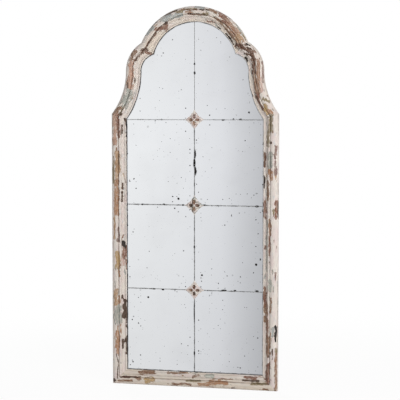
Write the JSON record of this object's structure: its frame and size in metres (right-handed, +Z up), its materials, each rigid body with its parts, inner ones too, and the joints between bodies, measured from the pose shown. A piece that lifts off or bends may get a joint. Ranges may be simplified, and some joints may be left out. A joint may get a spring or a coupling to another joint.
{
  "type": "mirror",
  "caption": "Tall arched wall mirror: antiqued mirror panes with dark seams and carved rosettes in a mitred wooden moulding with chipped cream paint, hung by D-shaped rings on its back.",
  "frame": {"origin": "on the wall plane, midway between the points where the two hooks carry the raised hanger rings", "axes": "+Z up, +X to the right seen from the front, the mirror faces -Y and its back is towards +Y"},
  "size_m": [0.895, 0.053, 2],
  "materials": {
    "painted_wood": "chipped cream paint over brown wood",
    "antique_mirror": "silvered glass with aged black spots",
    "fibreboard": "bare brown fibreboard",
    "foam_tape": "white foam tape",
    "bare_wood": "bare hardwood",
    "zinc_steel": "zinc-plated steel",
    "rubber": "matt black rubber"
  },
  "bodies": {
    "mirror": {"left_stile": "painted_wood", "right_stile": "painted_wood", "bottom_rail": "painted_wood", "left_shoulder": "painted_wood", "right_shoulder": "painted_wood", "top_arch": "painted_wood", "top_pane_left": "antique_mirror", "top_pane_right": "antique_mirror", "upper_pane_left": "antique_mirror", "upper_pane_right": "antique_mirror", "lower_pane_left": "antique_mirror", "lower_pane_right": "antique_mirror", "bottom_pane_left": "antique_mirror", "bottom_pane_right": "antique_mirror", "upper_rosette": "painted_wood", "middle_rosette": "painted_wood", "lower_rosette": "painted_wood", "backing_board": "fibreboard", "mounting_tape": "foam_tape", "mitre_tenons": "bare_wood", "board_screws": "zinc_steel", "rosette_screws": "zinc_steel", "left_hanger_strap": "zinc_steel", "right_hanger_strap": "zinc_steel", "hanger_screws": "zinc_steel", "left_bumper": "rubber", "right_bumper": "rubber"},
    "left_ring": {"left_hanger_ring": "zinc_steel"},
    "right_ring": {"right_hanger_ring": "zinc_steel"}
  },
  "joints": [
    {"name": "left_ring_swing", "type": "hinge", "parent": "mirror", "child": "left_ring", "pos_m": [-0.4215, -0.0042, -0.019], "axis": [1, 0, 0], "range_deg": [0, 180]},
    {"name": "right_ring_swing", "type": "hinge", "parent": "mirror", "child": "right_ring", "pos_m": [0.4215, -0.0042, -0.019], "axis": [1, 0, 0], "range_deg": [0, 180]}
  ]
}
